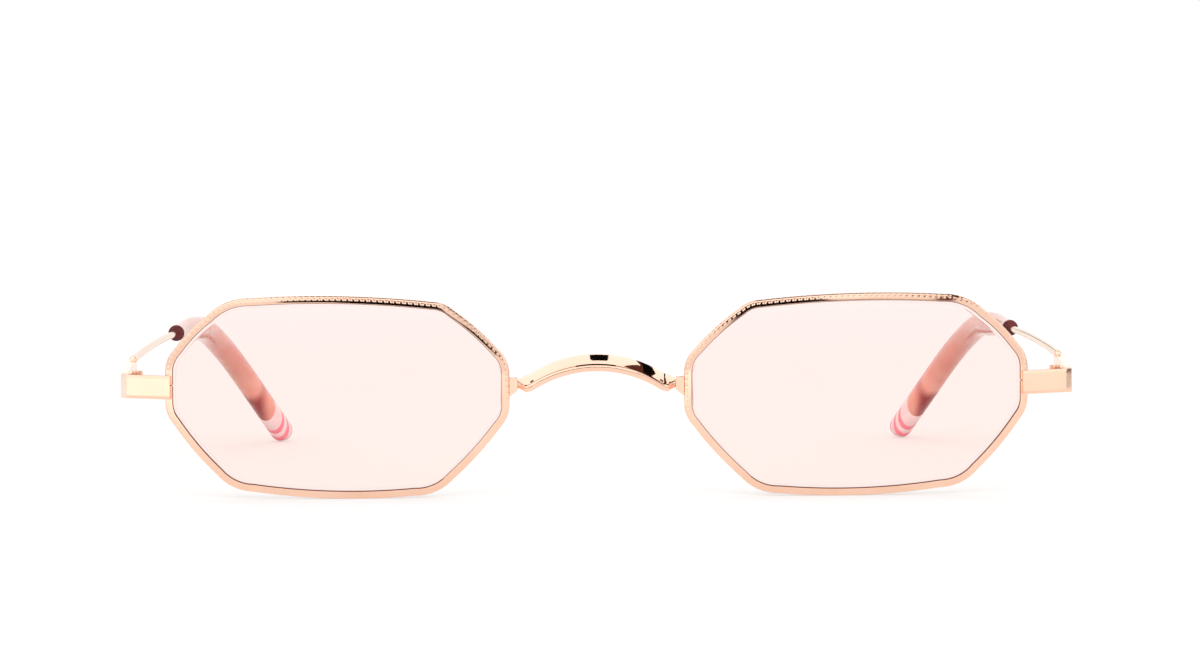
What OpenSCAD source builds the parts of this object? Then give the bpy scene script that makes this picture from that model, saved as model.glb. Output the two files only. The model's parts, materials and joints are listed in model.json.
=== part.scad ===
// Octagonal wire-rimmed sunglasses with a saddle bridge and bowed wire temples.
// The front faces -Y, the temples run to +Y and the wearer's left is at +X.
// The origin lies on the table, midway between the two sides and between front and back.

/* [Front] */
// Space between the two rims at the nose
rim_gap = 24.5; // [23:0.1:27]
// Width of one rim
rim_w = 48.2; // [46:0.1:49]
// Radius of the sphere that the front surfaces of lenses and rims follow
base_curve_r = 260; // [200:5:500]

/* [Rim outline, heights measured up from the table] */
// Height of the corner where the top edge meets the outer slope
top_outer_z = 28.3; // [26:0.1:30]
// Height of the corner where the top edge meets the inner slope
top_inner_z = 27.5; // [26:0.1:30]
// Height of the corner where the bottom edge meets the outer slope
bottom_outer_z = 1.2; // [0.5:0.1:2]
// Height of the corner where the bottom edge meets the inner slope
bottom_inner_z = 0.3; // [0:0.1:1.5]
// Upper end of the upright side at the temple
temple_side_top_z = 19.8; // [18.5:0.1:21]
// Lower end of the upright side at the temple
temple_side_bottom_z = 12; // [11:0.1:13]
// Upper end of the upright side at the nose
nose_side_top_z = 19.4; // [18.6:0.1:21]
// Lower end of the upright side at the nose
nose_side_bottom_z = 11.3; // [10:0.1:12.2]
// How far the outer slope at the top reaches in from the temple side
top_outer_run = 8.4; // [7:0.1:10]
// How far the inner slope at the top reaches in from the nose side
top_inner_run = 9.1; // [7:0.1:10]
// How far the outer slope at the bottom reaches in from the temple side
bottom_outer_run = 9.1; // [8:0.1:11]
// How far the inner slope at the bottom reaches in from the nose side
bottom_inner_run = 10.1; // [8:0.1:11]
// Radius of the corner where the top edge meets the outer slope
top_outer_r = 8; // [4:0.5:9]
// Radius of the five other upper and side corners
corner_r = 4.6; // [3:0.1:5]
// Radius of the two bottom corners
bottom_corner_r = 7; // [3:0.1:8]
// How far the top edge bows out
top_bow = 0.55; // [0:0.05:0.8]
// How far the bottom edge bows out
bottom_bow = 0.65; // [0:0.05:0.8]
// How far the slopes bow out
slope_bow = 0.25; // [0:0.05:0.4]

/* [Eyewire] */
// Width of the eyewire seen from the front
wire_face = 1.1; // [0.9:0.05:1.3]
// Depth of the eyewire from front to back
wire_depth = 1.9; // [1.7:0.05:2.4]
// Width of the bevel along the outer front edge
bevel_w = 0.36; // [0.2:0.02:0.5]
// Depth of that bevel
bevel_d = 0.08; // [0.04:0.01:0.12]
// Rounding of the eyewire's edges
edge_round = 0.14; // [0.08:0.01:0.2]
// Depth of the V groove that holds the lens
groove_depth = 0.45; // [0.3:0.05:0.5]
// Half of the groove's width at its mouth
groove_half = 0.45; // [0.3:0.05:0.5]
// Gap between the two ends of the eyewire inside the closing blocks
split_gap = 0.15; // [0.1:0.05:0.4]

/* [Lens] */
// Thickness of the lens
lens_t = 1.4; // [1.1:0.1:1.6]
// Gap between the lens and the groove all round
lens_clear = 0.05; // [0.02:0.01:0.1]

/* [End piece] */
// How far the end piece reaches out beyond the rim
end_reach = 6.15; // [6:0.05:7.2]
// Height of the end piece
end_h = 3.3; // [3:0.1:3.8]
// How much lower the end piece's inner end lies than its corner
end_rise = 0.25; // [0:0.05:0.4]
// Height of the bevels along the top and bottom edges
end_bevel_h = 0.4; // [0.2:0.05:0.6]
// Depth of those bevels
end_bevel_d = 0.18; // [0.1:0.01:0.3]
// Height of the end piece's middle above the table
end_z = 16.05; // [15.6:0.05:16.4]
// Thickness of the plate that makes end piece and temple butt
plate_t = 0.9; // [0.7:0.05:1.1]
// How far the end piece covers the rim
end_overlap = 0.75; // [0.4:0.05:0.85]
// Width of the facet at the corner where the end piece turns back
corner_facet = 0.9; // [0.5:0.05:1]
// How far the end piece's arm leans outwards on its way back to the hinge
arm_flare = 0.4; // [0:0.05:0.6]
// Distance from the rim's front to the joint between end piece and temple
butt_y = 4; // [3.5:0.1:5]
// Gap between end piece and temple when the temple is open
butt_gap = 0.06; // [0.04:0.01:0.1]
// Gap between the end piece and the front of the rim behind it
end_seat_gap = 0.1; // [0.05:0.01:0.15]

/* [Closing blocks] */
// Length of the closing blocks along the front
block_l = 2.5; // [2.3:0.1:2.8]
// Gap between the upper and the lower closing block
block_gap = 0.3; // [0.2:0.05:0.4]
// How far the blocks stay below the end piece's edges
block_inset = 0.3; // [0.2:0.05:0.4]
// How far the closing screw stands out from the blocks' middle
lock_shift = 0.1; // [0:0.05:0.2]
// Radius of the closing screw
lock_screw_r = 0.5; // [0.4:0.05:0.55]
// Radius of the closing screw's head
lock_head_r = 0.8; // [0.7:0.05:0.85]
// Height of the closing screw's head
lock_head_h = 0.4; // [0.3:0.05:0.5]

/* [Hinge] */
// Height of the three knuckles together
hinge_h = 3.2; // [3:0.1:3.4]
// Radius of a knuckle
knuckle_r = 0.9; // [0.8:0.05:0.95]
// Gap between two knuckles
knuckle_gap = 0.08; // [0.05:0.01:0.1]
// Thickness of a hinge leaf
leaf_t = 0.35; // [0.3:0.05:0.4]
// Length of a hinge leaf
leaf_l = 2.9; // [2.5:0.1:3.1]
// How far a leaf's edges stay inside those of the plate that it lies on
leaf_edge = 0.35; // [0.2:0.05:0.5]
// Gap between a knuckle and the other leaf
leaf_clear = 0.1; // [0.08:0.01:0.15]
// Radius of the hinge screw
hinge_screw_r = 0.45; // [0.35:0.05:0.5]
// Gap round a screw in its hole
screw_clear = 0.05; // [0.03:0.01:0.08]
// Radius of the hinge screw's head
hinge_head_r = 0.75; // [0.65:0.05:0.85]
// Height of the hinge screw's head
hinge_head_h = 0.35; // [0.3:0.05:0.5]

/* [Temple] */
// Length of the flat plate between hinge and wire
paddle_l = 12.8; // [11:0.1:15]
// Height that the plate's top edge gains over its length
paddle_rise = 2; // [1:0.05:2.5]
// Height of the plate where the wire leaves it
paddle_end_h = 2.4; // [2:0.1:3]
// Length of wire that is joined to the plate
paddle_lap = 2.8; // [2:0.1:4]
// Length over which the wire's end tapers into the plate
wire_point_l = 1.4; // [0.8:0.1:2]
// How far the wire stays inside the plate's outer face
wire_inset = 0.1; // [0:0.05:0.3]
// Radius of the temple wire
wire_r = 0.52; // [0.45:0.01:0.6]
// Angle by which the temple points inwards
toe_in = 1.7; // [0:0.1:2.2]
// Angle by which the wire climbs where it leaves the plate
wire_climb = 4.3; // [3:0.1:5]
// Radius of the long upward bow of the wire
bow_r = 790; // [700:10:1100]
// Length of the bowed stretch
bow_l = 79; // [75:0.5:84]
// Radius of the bend over the ear
ear_r = 53.4; // [45:0.1:60]
// Angle of the bend over the ear
ear_bend = 34.5; // [32:0.5:38]
// Angle by which the ear bend leans inwards
ear_lean = 26; // [10:1:32]

/* [Temple tip] */
// Distance along the wire from its start to the tip's front end
sleeve_start = 49.5; // [44:0.5:54]
// Radius of the tip at its front end
sleeve_r0 = 1.25; // [1.1:0.05:1.4]
// Radius of the tip over the ear
sleeve_r1 = 1.95; // [1.7:0.05:2.3]
// Length over which the tip swells to its full radius
sleeve_swell = 24; // [15:0.5:27]
// How much thinner the core wire gets at the bend, and again at its straight end
core_step = 0.04; // [0.02:0.01:0.06]
// Gap between the core wire and the tip
core_clear = 0.04; // [0.02:0.01:0.06]
// Thickness of a layer of the laminated end
layer_t = 1.15; // [0.8:0.05:1.5]
// Thickness of the first pale layer behind the tip
first_pale_t = 3.9; // [2:0.1:4.5]
// Number of pink layers, the rounded one at the very end among them
pink_count = 3; // [2:1:4]
// Distance from the core wire's end to the first pale layer
core_stop = 5.4; // [3:0.1:7]

/* [Bridge] */
// Height of the bridge's middle at its crest
bridge_z = 18.85; // [18:0.05:20]
// Width of the bridge's strip
strip_w = 4.2; // [3.5:0.1:5]
// Thickness of the bridge's strip
strip_t = 1.1; // [0.8:0.05:1.3]
// How far the strip's upper face bulges
strip_crown = 0.1; // [0:0.02:0.2]
// Angle by which the strip leans back to lie on the nose
strip_tilt = 23; // [15:1:30]
// Radius of the arch
arch_r = 17; // [16:0.1:19]
// Angle of each half of the arch
arch_angle = 32; // [28:1:33]
// Radius of the turn from the arch into the foot
foot_r = 2; // [1.5:0.1:2.5]
// Width that the strip narrows to at its feet
foot_w = 1.5; // [1.2:0.1:1.8]
// Length of the lug between foot and rim
lug_l = 1.15; // [0.9:0.05:1.2]
// Height of the lug where it meets the rim
lug_h = 3.1; // [2.4:0.1:3.4]
// Height of the lug where it meets the bridge
lug_end_h = 1.8; // [1.4:0.1:2.2]
// Height of the lug's middle above the table, at the rim
lug_z = 15.35; // [15:0.05:16]
// Depth of the lug from front to back
lug_depth = 1.6; // [1.3:0.1:1.8]

/* [Hidden] */
$fn = 48;

METAL = "#f3c9a6";
SCREW = "#e6bb99";
LENS = "#fbdcd8";
PINK_CLEAR = "#e9a79f";
PINK = "#ff93a8";
PALE = "#ffe3e5";

// Small value by which a cutting body passes the face that it cuts
EPS = 0.01;
// Straight steps in a corner of the rim and along a side of it
CORNER_STEPS = 4;
SIDE_STEPS = 4;
// Steps in the swelling part of a temple tip
SWELL_STEPS = 8;
// Length by which one stretch of a rod starts inside the one before, and how much thinner it is
JOIN = 0.3;
STEP = 0.01;

function unit(v) = v / norm(v);
function lerp(a, b, t) = a + (b - a) * t;

// Outline of a rim in x and z, counter-clockwise from the temple side's upper corner
nose_x = rim_gap / 2;
temple_x = nose_x + rim_w;
rim_corners = [
    [temple_x, temple_side_top_z],
    [temple_x - top_outer_run, top_outer_z],
    [nose_x + top_inner_run, top_inner_z],
    [nose_x, nose_side_top_z],
    [nose_x, nose_side_bottom_z],
    [nose_x + bottom_inner_run, bottom_inner_z],
    [temple_x - bottom_outer_run, bottom_outer_z],
    [temple_x, temple_side_bottom_z]
];
rim_radii = [corner_r, top_outer_r, corner_r, corner_r, corner_r, bottom_corner_r, bottom_corner_r, corner_r];
rim_bows = [slope_bow, top_bow, slope_bow, 0, slope_bow, bottom_bow, slope_bow];

// Points of one rounded corner of the outline
function corner_arc(i) =
    let (
        q = rim_corners[i],
        back = unit(rim_corners[(i + 7) % 8] - q),
        ahead = unit(rim_corners[(i + 1) % 8] - q),
        half = acos(back * ahead) / 2,
        centre = q + unit(back + ahead) * rim_radii[i] / sin(half),
        from = q + back * rim_radii[i] / tan(half) - centre,
        turn = 180 - 2 * half,
        start = atan2(from[1], from[0])
    )
    [for (k = [0:CORNER_STEPS])
        centre + rim_radii[i] * [cos(start + turn * k / CORNER_STEPS), sin(start + turn * k / CORNER_STEPS)]];

// Points between two corners, bowed out in the middle
function side_points(from, to, bow) =
    let (out = unit([to[1] - from[1], from[0] - to[0]]))
    [for (k = [1:SIDE_STEPS - 1])
        lerp(from, to, k / SIDE_STEPS) + out * bow * 4 * k * (SIDE_STEPS - k) / (SIDE_STEPS * SIDE_STEPS)];

corner_points = [for (i = [0:7]) corner_arc(i)];
outline = concat(
    [[temple_x, end_z + split_gap / 2]],
    [for (i = [0:7]) each concat(
        corner_points[i],
        i < 7 ? side_points(corner_points[i][CORNER_STEPS], corner_points[i + 1][0], rim_bows[i]) : []
    )],
    [[temple_x, end_z - split_gap / 2]]
);
outline_n = len(outline);
floor_z = min([for (p = outline) p[1]]);
rim_mid = [
    (nose_x + temple_x) / 2,
    (max([for (p = outline) p[1]]) + floor_z) / 2
];

// The outline moved inwards by d, with every side kept parallel
function inset_point(i, d) =
    let (
        p = outline[i],
        back = i > 0 ? unit(p - outline[i - 1]) : [0, 1],
        ahead = i < outline_n - 1 ? unit(outline[i + 1] - p) : [0, 1],
        along = unit(back + ahead)
    )
    p + [-along[1], along[0]] * d / (along * back);

// How far the curved front lies behind its foremost point
function sag(p) =
    let (r = norm([p[0] - rim_mid[0], p[1] - rim_mid[1]]))
    base_curve_r - sqrt(base_curve_r * base_curve_r - r * r);
side_sag = sag([temple_x, rim_mid[1]]);
// A point of the curved front: y is measured back from the rim's front face
function on_curve(p, y) = [p[0], y + sag(p) - side_sag, p[1]];

// Solid through a list of rings, each a list of points, closed by its two end faces
module skin(rings) {
    n = len(rings);
    m = len(rings[0]);
    polyhedron(
        points = [for (r = rings) each r],
        faces = concat(
            [for (i = [0:n - 2], j = [0:m - 1])
                each [
                    [i * m + j, i * m + (j + 1) % m, (i + 1) * m + j],
                    [(i + 1) * m + j, i * m + (j + 1) % m, (i + 1) * m + (j + 1) % m]
                ]],
            [concat([0], [for (j = [m - 1:-1:1]) j])],
            [[for (j = [0:m - 1]) (n - 1) * m + j]]
        )
    );
}

// Solid through rings that shrink to one point at both ends
module domed_skin(first, rings, last) {
    n = len(rings);
    m = len(rings[0]);
    polyhedron(
        points = concat([first], [for (r = rings) each r], [last]),
        faces = concat(
            [for (j = [0:m - 1]) [0, 1 + (j + 1) % m, 1 + j]],
            [for (i = [0:n - 2], j = [0:m - 1])
                each [
                    [1 + i * m + j, 1 + i * m + (j + 1) % m, 1 + (i + 1) * m + j],
                    [1 + (i + 1) * m + j, 1 + i * m + (j + 1) % m, 1 + (i + 1) * m + (j + 1) % m]
                ]],
            [for (j = [0:m - 1]) [1 + (n - 1) * m + j, 1 + (n - 1) * m + (j + 1) % m, 1 + n * m]]
        )
    );
}

// Puts a piece modelled round the front's own zero into the part's frame
module placed() {
    translate([0, -(min(end_front_y, bridge_front_y) + rear_y) / 2, -floor_z])
        children();
}

// Both sides are modelled at +X, and the right one is the mirror image
module on_left() {
    placed()
        children();
}
module on_right() {
    placed()
        mirror([1, 0, 0])
            children();
}

// Eyewire: its section is given as inset from the outline and depth from the front
groove_y = wire_depth / 2;
wire_section = [
    [0, groove_y],
    [0, bevel_d + edge_round],
    [edge_round, bevel_d],
    [bevel_w, 0],
    [wire_face - edge_round, 0],
    [wire_face, edge_round],
    [wire_face, groove_y - groove_half],
    [wire_face - groove_depth, groove_y],
    [wire_face, groove_y + groove_half],
    [wire_face, wire_depth - edge_round],
    [wire_face - edge_round, wire_depth],
    [edge_round, wire_depth],
    [0, wire_depth - edge_round]
];
module rim() {
    color(METAL)
        skin([for (i = [0:outline_n - 1])
            [for (s = wire_section) on_curve(inset_point(i, s[0]), s[1])]]);
}

// Everything inside the rim's outer outline, used to cut what is joined to the rim
module inside_outline(depth) {
    translate([0, depth / 2, 0])
        rotate([90, 0, 0])
            linear_extrude(height = depth)
                polygon(outline);
}

// Lens with a bevelled edge, a step of clearance smaller than the groove
lens_edge = wire_face + lens_clear;
lens_bevel = lens_edge - groove_depth;
lens_front_y = groove_y - lens_t / 2;
lens_back_y = lens_front_y + lens_t;
// Shares of the way from the lens's middle to its edge at which its faces have a ring of points
LENS_SHARES = [0.4, 0.75];
function lens_ring(inset, y) = [for (i = [0:outline_n - 1]) on_curve(inset_point(i, inset), y)];
function inner_ring(share, y) =
    [for (i = [0:outline_n - 1]) on_curve(lerp(rim_mid, inset_point(i, lens_edge), share), y)];
module lens() {
    color(LENS, 0.5)
        domed_skin(
            on_curve(rim_mid, lens_front_y),
            [
                inner_ring(LENS_SHARES[0], lens_front_y),
                inner_ring(LENS_SHARES[1], lens_front_y),
                lens_ring(lens_edge, lens_front_y),
                lens_ring(lens_edge, groove_y - groove_half + lens_clear),
                lens_ring(lens_bevel, groove_y),
                lens_ring(lens_edge, groove_y + groove_half - lens_clear),
                lens_ring(lens_edge, lens_back_y),
                inner_ring(LENS_SHARES[1], lens_back_y),
                inner_ring(LENS_SHARES[0], lens_back_y)
            ],
            on_curve(rim_mid, lens_back_y)
        );
}

// End piece: a flat plate along the front, a facet, and an arm back to the hinge
outer_x = temple_x + end_reach;
inner_x = outer_x - plate_t;
corner_x = outer_x - corner_facet;
end_back_y = -end_seat_gap;
end_front_y = end_back_y - plate_t;
end_inner_x = temple_x - end_overlap;
arm_back_y = butt_y - butt_gap / 2;
INNER_FACET_SHARE = 0.4;
inner_facet = corner_facet * INNER_FACET_SHARE;
// Inner face of the arm at depth y, and the temple's plate, which continues the arm's back end
arm_front_y = end_back_y + inner_facet;
function arm_x(y) = inner_x + arm_flare * (y - arm_front_y) / (arm_back_y - arm_front_y);
paddle_x = inner_x + arm_flare;
// Seen from above
module end_plan() {
    translate([0, 0, end_z - end_h])
        linear_extrude(height = 2 * end_h)
            polygon([
                [end_inner_x, end_front_y],
                [corner_x, end_front_y],
                [outer_x, end_front_y + corner_facet],
                [outer_x + arm_flare, arm_back_y],
                [inner_x + arm_flare, arm_back_y],
                [inner_x, arm_front_y],
                [inner_x - inner_facet, end_back_y],
                [end_inner_x, end_back_y]
            ]);
}
// Seen from the front: the inner end lies a little lower, and the arm's outer edges are bevelled
module end_front_view() {
    top = end_z + end_h / 2;
    low = end_z - end_h / 2;
    side = outer_x + arm_flare;
    translate([0, arm_back_y + EPS, 0])
        rotate([90, 0, 0])
            linear_extrude(height = arm_back_y - end_front_y + 2 * EPS)
                polygon([
                    [end_inner_x - EPS, low - end_rise],
                    [corner_x, low],
                    [side - end_bevel_d, low],
                    [side, low + end_bevel_h],
                    [side, top - end_bevel_h],
                    [side - end_bevel_d, top],
                    [corner_x, top],
                    [end_inner_x - EPS, top - end_rise]
                ]);
}
// Seen from the side: the front's top and bottom edges are bevelled, and rise with them
rise_angle = atan(end_rise / (corner_x - end_inner_x));
module end_side_view() {
    top = end_h / 2;
    translate([corner_x, 0, end_z])
        rotate([0, -rise_angle, 0])
            translate([end_inner_x - corner_x - end_bevel_h, 0, 0])
                rotate([90, 0, 90])
                    linear_extrude(height = 2 * end_reach)
                        polygon([
                            [end_front_y, end_bevel_h - top],
                            [end_front_y + 2 * end_bevel_d, -end_bevel_h - top],
                            [arm_back_y + EPS, -end_bevel_h - top],
                            [arm_back_y + EPS, top + end_bevel_h],
                            [end_front_y + 2 * end_bevel_d, top + end_bevel_h],
                            [end_front_y, top - end_bevel_h]
                        ]);
}
module end_piece() {
    color(METAL)
        intersection() {
            end_plan();
            end_front_view();
            end_side_view();
        }
}

// Closing blocks: brazed to the rim on both sides of its split, behind the end piece
block_h = (end_h - block_gap) / 2 - block_inset;
lock_x = temple_x + block_l / 2 + lock_shift;
lock_y = (end_back_y + wire_depth) / 2;
module closing_block(bottom_z) {
    difference() {
        translate([temple_x - wire_face / 2, end_back_y, bottom_z])
            cube([block_l + wire_face / 2, wire_depth - end_back_y, block_h]);
        inside_outline(4 * wire_depth);
        children();
    }
}
lower_block_z = end_z - block_gap / 2 - block_h;
upper_block_z = end_z + block_gap / 2;
module upper_closing_block() {
    color(METAL)
        closing_block(upper_block_z)
            translate([lock_x, lock_y, upper_block_z - EPS])
                cylinder(r = lock_screw_r + screw_clear, h = block_h + 2 * EPS);
}
module lower_closing_block() {
    color(METAL)
        closing_block(lower_block_z) {
            translate([lock_x, lock_y, lower_block_z - EPS])
                cylinder(r = lock_screw_r + screw_clear, h = block_h + 2 * EPS);
            translate([lock_x, lock_y, lower_block_z - EPS])
                cylinder(r = lock_head_r + screw_clear, h = lock_head_h + EPS);
        }
}

// Slotted screw that stands on its head at the origin
SLOT_W_SHARE = 0.3;
SLOT_DEPTH_SHARE = 0.5;
module screw(r, head_r, head_h, length) {
    slot_w = head_r * SLOT_W_SHARE;
    slot_depth = head_h * SLOT_DEPTH_SHARE;
    difference() {
        union() {
            cylinder(r = head_r, h = head_h);
            translate([0, 0, head_h - EPS])
                cylinder(r = r, h = length - head_h + EPS);
        }
        translate([-head_r - EPS, -slot_w / 2, -EPS])
            cube([2 * (head_r + EPS), slot_w, slot_depth + EPS]);
    }
}
module closing_screw() {
    color(SCREW)
        translate([lock_x, lock_y, lower_block_z])
            screw(lock_screw_r, lock_head_r, lock_head_h, upper_block_z + block_h - lower_block_z);
}

// Hinge: two knuckles on the front, one on the temple, on one upright screw
leaf_x = paddle_x - leaf_t;
axis_x = leaf_x - leaf_clear - knuckle_r;
axis_y = butt_y;
knuckle_h = (hinge_h - 2 * knuckle_gap) / 3;
knuckle_pitch = knuckle_h + knuckle_gap;
hinge_bottom_z = end_z - hinge_h / 2;
WEB_SHARE = 0.8;
web_w = knuckle_r * WEB_SHARE;
// side is -1 for the knuckle's web towards the front and 1 for one towards the temple
module knuckle(level, side) {
    translate([axis_x, axis_y, hinge_bottom_z + level * knuckle_pitch])
        difference() {
            union() {
                cylinder(r = knuckle_r, h = knuckle_h);
                translate([0, side > 0 ? 0 : -web_w, 0])
                    cube([leaf_x - axis_x + leaf_t / 2, web_w, knuckle_h]);
            }
            translate([0, 0, -EPS])
                cylinder(r = hinge_screw_r + screw_clear, h = knuckle_h + 2 * EPS);
        }
}
leaf_h = end_h - 2 * leaf_edge;
paddle_top_slope = paddle_rise / paddle_l;
paddle_bottom_slope = (paddle_rise + end_h - paddle_end_h) / paddle_l;
module front_hinge() {
    y0 = axis_y - leaf_clear - leaf_l;
    y1 = axis_y - leaf_clear;
    color(METAL)
        union() {
            translate([0, 0, end_z - leaf_h / 2])
                linear_extrude(height = leaf_h)
                    polygon([
                        [arm_x(y0), y0],
                        [arm_x(y1), y1],
                        [arm_x(y1) - leaf_t, y1],
                        [arm_x(y0) - leaf_t, y0]
                    ]);
            knuckle(0, -1);
            knuckle(2, -1);
        }
}
module temple_hinge() {
    color(METAL)
        union() {
            translate([leaf_x, axis_y + leaf_clear, end_z])
                rotate([90, 0, 90])
                    linear_extrude(height = leaf_t)
                        polygon([
                            [0, -leaf_h / 2],
                            [leaf_l, -leaf_h / 2 + leaf_l * paddle_bottom_slope],
                            [leaf_l, leaf_h / 2 + leaf_l * paddle_top_slope],
                            [0, leaf_h / 2]
                        ]);
            knuckle(1, 1);
        }
}
module hinge_screw() {
    color(SCREW)
        translate([axis_x, axis_y, hinge_bottom_z + hinge_h + hinge_head_h])
            mirror([0, 0, 1])
                screw(hinge_screw_r, hinge_head_r, hinge_head_h, hinge_h + hinge_head_h);
}

// Core wire inside the tip's bend and inside its straight end
core_bend_r = wire_r - core_step;
core_end_r = core_bend_r - core_step;

// The wire's course as frames [place, along, inwards, up]
wire_x = paddle_x + plate_t - wire_inset - wire_r;
paddle_y0 = butt_y + butt_gap / 2;
paddle_y1 = paddle_y0 + paddle_l;
wire_z = end_z + end_h / 2 + paddle_rise - wire_r;
wire_y = paddle_y1 - paddle_lap;
start_frame = [
    [wire_x, wire_y, wire_z],
    [-sin(toe_in) * cos(wire_climb), cos(toe_in) * cos(wire_climb), sin(wire_climb)],
    [-cos(toe_in), -sin(toe_in), 0],
    [sin(toe_in) * sin(wire_climb), -cos(toe_in) * sin(wire_climb), cos(wire_climb)]
];
function go_straight(f, l) = [f[0] + f[1] * l, f[1], f[2], f[3]];
function go_round(f, r, a) = [
    f[0] + r * (sin(a) * f[1] - (1 - cos(a)) * f[3]),
    cos(a) * f[1] - sin(a) * f[3],
    f[2],
    sin(a) * f[1] + cos(a) * f[3]
];
function roll(f, a) = [f[0], f[1], cos(a) * f[2] + sin(a) * f[3], cos(a) * f[3] - sin(a) * f[2]];
function arc_angle(l, r) = l / r * 180 / PI;
ear_frame = roll(go_round(start_frame, bow_r, arc_angle(bow_l, bow_r)), ear_lean);
drop_frame = go_round(ear_frame, ear_r, ear_bend);
ear_l = ear_r * ear_bend * PI / 180;
// The straight end is as long as it takes for the rounded tip to touch the table
drop_l = (drop_frame[0][2] - floor_z - sleeve_r1 + 2 * STEP) / -drop_frame[1][2];
tip_frame = go_straight(drop_frame, drop_l);
rear_y = tip_frame[0][1] + sleeve_r1 - 2 * STEP;
tip_l = bow_l + ear_l + drop_l + sleeve_r1;
layers_l = first_pale_t + (2 * pink_count - 2) * layer_t + sleeve_r1;
layers_start = tip_l - layers_l;
core_l = layers_start - core_stop;

// Frames along the wire, with +Y along it, -X inwards and +Z up
module at_start() {
    translate([wire_x, wire_y, wire_z])
        rotate([wire_climb, 0, toe_in])
            children();
}
// Further on by l along a curve of radius r that turns down
module round_the(r, l) {
    a = arc_angle(l, r);
    translate([0, r * sin(a), -r * (1 - cos(a))])
        rotate([-a, 0, 0])
            children();
}
module at_bow(s) {
    at_start()
        round_the(bow_r, s)
            children();
}
module at_ear() {
    at_bow(bow_l)
        rotate([0, ear_lean, 0])
            children();
}
module at_drop() {
    at_ear()
        round_the(ear_r, ear_l)
            children();
}

// Rod that follows such a curve from s0 to s1
module bent_rod(r, curve_r, s0, s1) {
    start_angle = arc_angle(s0, curve_r);
    translate([0, 0, -curve_r])
        rotate([-start_angle, 0, 0])
            rotate([0, -90, 0])
                rotate_extrude(angle = arc_angle(s1, curve_r) - start_angle, $fn = ceil(8 * curve_r))
                    translate([curve_r, 0])
                        circle(r = r, $fn = 32);
}
// Straight rod from y0 to y1
module straight_rod(r, y0, y1) {
    translate([0, y0, 0])
        rotate([-90, 0, 0])
            cylinder(r = r, h = y1 - y0);
}

// Temple wire and the core that it runs into, each stretch starting inside the one before.
// grow widens and lengthens it, which gives the hole for the core in the tip.
module wire(grow) {
    at_start()
        bent_rod(wire_r + grow, bow_r, 0, bow_l + grow);
    at_ear()
        bent_rod(core_bend_r + grow, ear_r, -JOIN, ear_l + grow);
    at_drop()
        straight_rod(core_end_r + grow, -JOIN, core_l - bow_l - ear_l + grow);
}
// The wire's end, tapered to lie flush in the plate
POINT_SHARE = 0.4;
module wire_point() {
    at_start()
        translate([0, JOIN, 0])
            rotate([90, 0, 0])
                cylinder(r1 = wire_r - STEP, r2 = wire_r * POINT_SHARE, h = wire_point_l + JOIN, $fn = 32);
}
module temple() {
    color(METAL)
        union() {
            translate([paddle_x, 0, 0])
                rotate([90, 0, 90])
                    linear_extrude(height = plate_t)
                        polygon([
                            [paddle_y0, end_z - end_h / 2],
                            [paddle_y1, end_z + end_h / 2 + paddle_rise - paddle_end_h],
                            [paddle_y1, end_z + end_h / 2 + paddle_rise],
                            [paddle_y0, end_z + end_h / 2]
                        ]);
            wire(0);
            wire_point();
        }
}

// Tip: a stretch that swells along the wire's bow, the bend over the ear and a straight end.
// Each stretch is a hair thinner than the one before and starts inside it.
swell_l = bow_l - sleeve_start;
swell_mid = (bow_l + sleeve_start) / 2;
swell_chord = 2 * bow_r * sin(arc_angle(swell_l / 2, bow_r));
swell_drop = bow_r * (1 - cos(arc_angle(swell_l / 2, bow_r)));
bend_sleeve_r = sleeve_r1 - STEP;
drop_sleeve_r = sleeve_r1 - 2 * STEP;
function swell_r(y) =
    let (t = min(1, y / sleeve_swell))
    lerp(sleeve_r0, sleeve_r1, t * t * (3 - 2 * t));
module swelling_rod() {
    at_bow(swell_mid)
        translate([0, -swell_chord / 2, -swell_drop])
            rotate([-90, 0, 0])
                rotate_extrude()
                    polygon(concat(
                        [[0, 0]],
                        [for (k = [0:SWELL_STEPS])
                            [swell_r(sleeve_swell * k / SWELL_STEPS), sleeve_swell * k / SWELL_STEPS]],
                        [[sleeve_r1, swell_chord], [0, swell_chord]]
                    ));
}
module temple_tip() {
    color(PINK_CLEAR, 0.7)
        difference() {
            union() {
                swelling_rod();
                at_ear()
                    bent_rod(bend_sleeve_r, ear_r, -JOIN, ear_l);
                at_drop()
                    straight_rod(drop_sleeve_r, -JOIN, layers_start - bow_l - ear_l);
            }
            wire(core_clear);
        }
}

// Layers of the laminated end, whose distance is measured from the start of the straight end
layers_y = layers_start - bow_l - ear_l;
function layer_y(k) = layers_y + first_pale_t + k * layer_t;
module tip_pink_layers() {
    color(PINK)
        at_drop() {
            for (k = [0:pink_count - 2])
                straight_rod(drop_sleeve_r, layer_y(2 * k), layer_y(2 * k + 1));
            translate([0, layer_y(2 * pink_count - 2), 0])
                difference() {
                    sphere(r = drop_sleeve_r);
                    translate([-sleeve_r1, -2 * sleeve_r1, -sleeve_r1])
                        cube(2 * sleeve_r1);
                }
        }
}
module tip_pale_layers() {
    color(PALE)
        at_drop() {
            straight_rod(drop_sleeve_r, layers_y, layer_y(0));
            for (k = [0:pink_count - 2])
                straight_rod(drop_sleeve_r, layer_y(2 * k + 1), layer_y(2 * k + 2));
        }
}

// Bridge: one strip over an arch and two feet, tilted back and narrowed at its ends
arch_x = arch_r * sin(arch_angle);
arch_drop = arch_r * (1 - cos(arch_angle));
foot_x = arch_x + foot_r * sin(arch_angle);
foot_z = bridge_z - arch_drop - foot_r * (1 - cos(arch_angle));
strip_end_x = nose_x - lug_l;
bridge_y = groove_y;
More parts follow.
